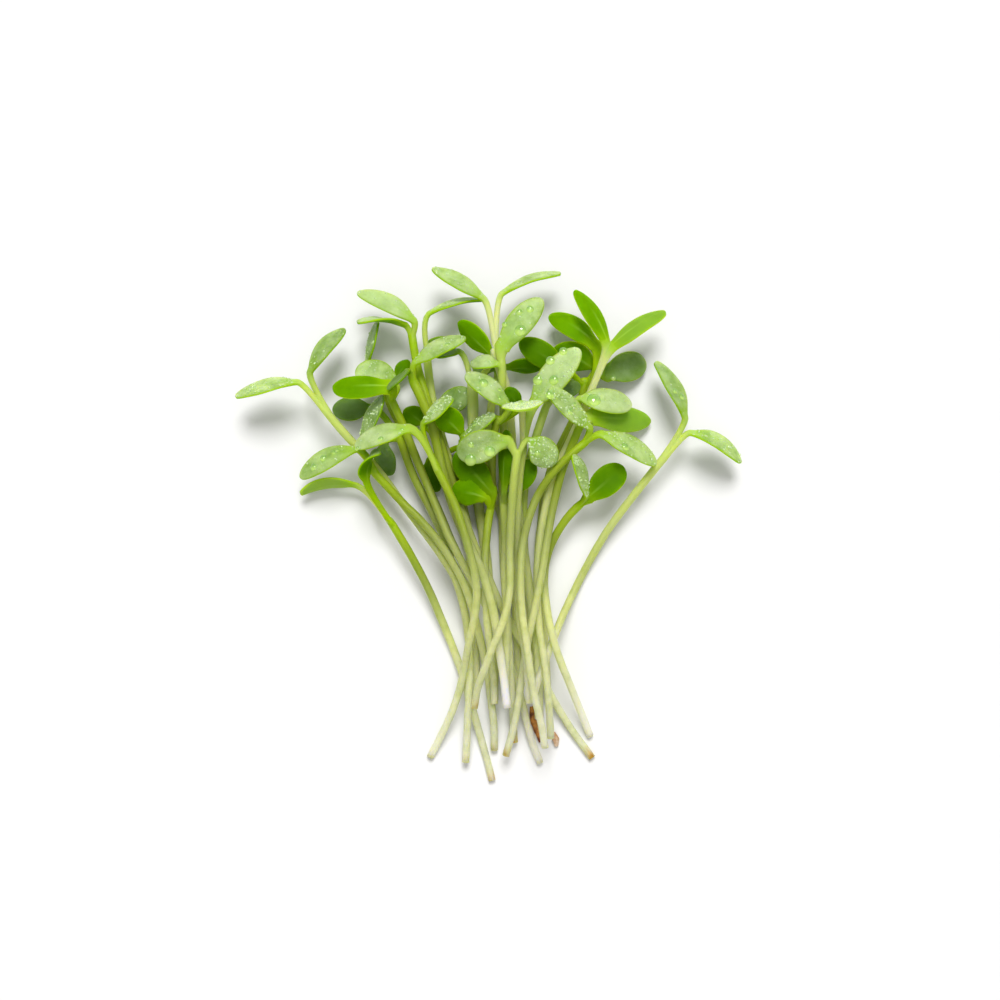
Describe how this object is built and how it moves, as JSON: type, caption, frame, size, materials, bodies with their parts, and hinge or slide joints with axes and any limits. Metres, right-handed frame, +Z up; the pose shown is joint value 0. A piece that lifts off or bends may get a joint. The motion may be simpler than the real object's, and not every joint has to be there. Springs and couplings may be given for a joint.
{
  "type": "bunch of chia microgreens",
  "caption": "Small cut bunch of fresh microgreens lying on its side: pale crossed stems that fan out into pairs of oblong green seed leaves.",
  "frame": {"origin": "centre of the bounding box in X and Y, on the surface that the bunch lies on", "axes": "+Z up from the surface, +Y from the cut ends towards the leaves, +X to the right when seen from above with the leaves at the top"},
  "size_m": [0.0696, 0.0713, 0.0133],
  "materials": {
    "sprout": "fresh green leaf and pale green stem, soft satin",
    "seed_coat": "dry brown papery husk, matt"
  },
  "bodies": {
    "root": {"sprout_01": "sprout", "sprout_02": "sprout", "sprout_03": "sprout", "sprout_04": "sprout", "sprout_05": "sprout", "sprout_06": "sprout", "sprout_07": "sprout", "sprout_08": "sprout", "sprout_09": "sprout", "sprout_10": "sprout", "sprout_11": "sprout", "sprout_12": "sprout", "sprout_13": "sprout", "sprout_14": "sprout", "sprout_15": "sprout", "sprout_16": "sprout", "sprout_17": "sprout", "sprout_18": "sprout", "sprout_19": "sprout", "sprout_20": "sprout", "sprout_21": "sprout", "sprout_22": "sprout", "sprout_23": "sprout", "sprout_24": "sprout", "sprout_25": "sprout", "sprout_26": "sprout", "sprout_27": "sprout", "sprout_28": "sprout", "sprout_29": "sprout", "sprout_30": "sprout", "seed_coat_1": "seed_coat", "seed_coat_2": "seed_coat"}
  },
  "joints": []
}
